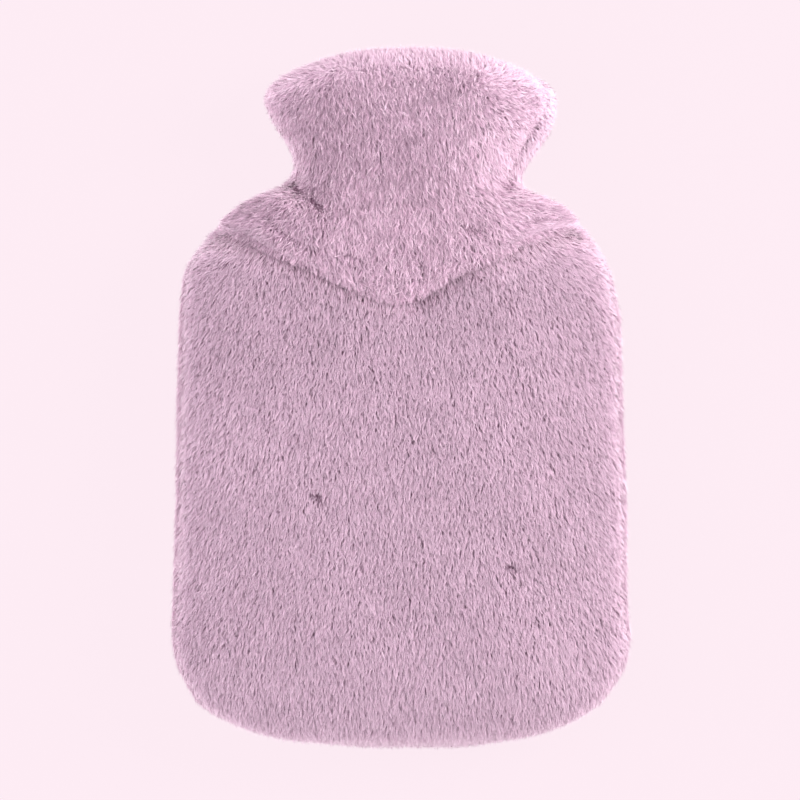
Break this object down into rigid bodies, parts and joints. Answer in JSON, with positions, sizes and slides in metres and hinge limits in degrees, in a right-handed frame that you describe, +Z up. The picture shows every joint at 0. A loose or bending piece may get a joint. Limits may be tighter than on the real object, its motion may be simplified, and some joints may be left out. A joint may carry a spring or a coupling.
{
  "type": "hot water bottle cover",
  "caption": "Plush hot water bottle cover: a rounded hollow body with a drawn-in neck, a flared open collar and a V-shaped flap lying over the lower front.",
  "frame": {"origin": "under the middle of the cover, on the surface it lies on", "axes": "+X across the front to the right, +Y from the bottom seam to the collar, +Z up out of the front face"},
  "size_m": [0.2221, 0.3411, 0.06],
  "materials": {
    "plush_back": "matt long-pile plush",
    "plush_front": "matt long-pile plush",
    "plush_yoke": "matt long-pile plush"
  },
  "bodies": {
    "root": {"back_panel": "plush_back", "front_panel": "plush_front", "yoke_collar": "plush_yoke"}
  },
  "joints": []
}
